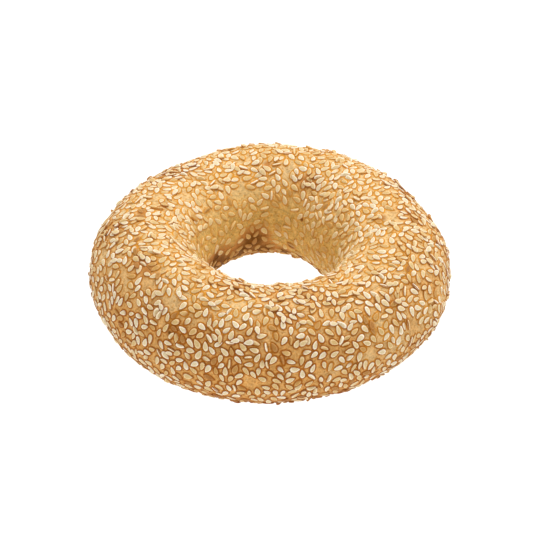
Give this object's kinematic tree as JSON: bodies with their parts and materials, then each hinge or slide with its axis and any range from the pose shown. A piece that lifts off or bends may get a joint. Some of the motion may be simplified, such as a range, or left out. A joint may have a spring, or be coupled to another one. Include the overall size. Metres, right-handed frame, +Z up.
{
  "type": "sesame bagel",
  "caption": "Round baked bread ring with an uneven round section, a hole through the middle, a flat underside and sesame seeds all over its golden crust.",
  "frame": {"origin": "under the middle of the ring, at the level of the flat underside it rests on", "axes": "+Z up through the hole, -Y towards the front of the picture, +X to its right"},
  "size_m": [0.1133, 0.1141, 0.0377],
  "materials": {
    "baked_crust": "matte golden-tan baked crust, paler on the crown and the shoulders, browner where it is toasted, yellower in the hole, with small pits and wrinkles",
    "sesame_seed": "satin hulled sesame seed, ivory to golden, some toasted brown"
  },
  "bodies": {
    "root": {"bagel": "baked_crust"}
  },
  "joints": []
}
